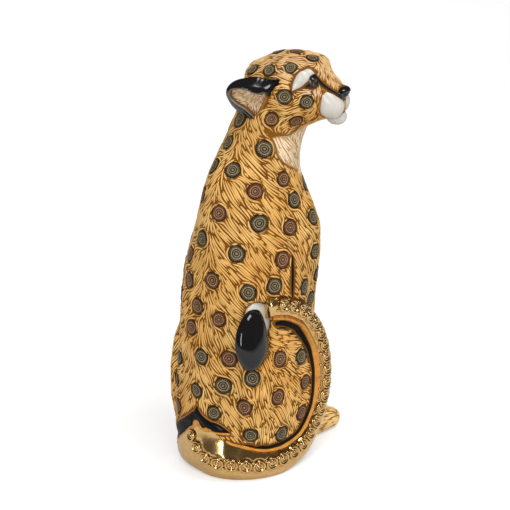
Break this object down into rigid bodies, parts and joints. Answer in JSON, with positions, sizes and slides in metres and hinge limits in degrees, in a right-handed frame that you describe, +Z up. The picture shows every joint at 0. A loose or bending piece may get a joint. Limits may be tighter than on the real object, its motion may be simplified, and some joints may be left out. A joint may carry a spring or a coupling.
{
  "type": "cheetah figurine",
  "caption": "Seated cheetah figurine in glazed ceramic, head turned to its right, with a gold tail curled round the haunch.",
  "frame": {"origin": "centre of the footprint of the bounding box, on the surface the figurine stands on", "axes": "+Z up, -Y the way the body faces, -X the animal's right side, where the tail lies"},
  "size_m": [0.1008, 0.1384, 0.2983],
  "materials": {
    "ochre_glaze": "satin ochre glaze with dark engraved hair lines and dark ring spots",
    "black_glaze": "high gloss black glaze",
    "white_glaze": "gloss off-white glaze",
    "gold_lustre": "fired gold lustre over glaze, mirror bright"
  },
  "bodies": {
    "root": {"head": "ochre_glaze", "neck": "ochre_glaze", "trunk": "ochre_glaze", "foreleg_right": "ochre_glaze", "foreleg_left": "ochre_glaze", "forepaw_right": "ochre_glaze", "forepaw_left": "ochre_glaze", "hindpaw_left": "ochre_glaze", "thigh_right": "ochre_glaze", "thigh_left": "ochre_glaze", "nose": "black_glaze", "eye_right": "black_glaze", "eye_left": "black_glaze", "ear_right": "black_glaze", "ear_left": "black_glaze", "tail_tip": "black_glaze", "tail_root_band": "black_glaze", "muzzle_right": "white_glaze", "muzzle_left": "white_glaze", "chin": "white_glaze", "brow_patch_right": "white_glaze", "brow_patch_left": "white_glaze", "tail_tip_band": "white_glaze", "tail_base": "gold_lustre", "tail_side": "gold_lustre", "tail_arch": "gold_lustre"}
  },
  "joints": []
}
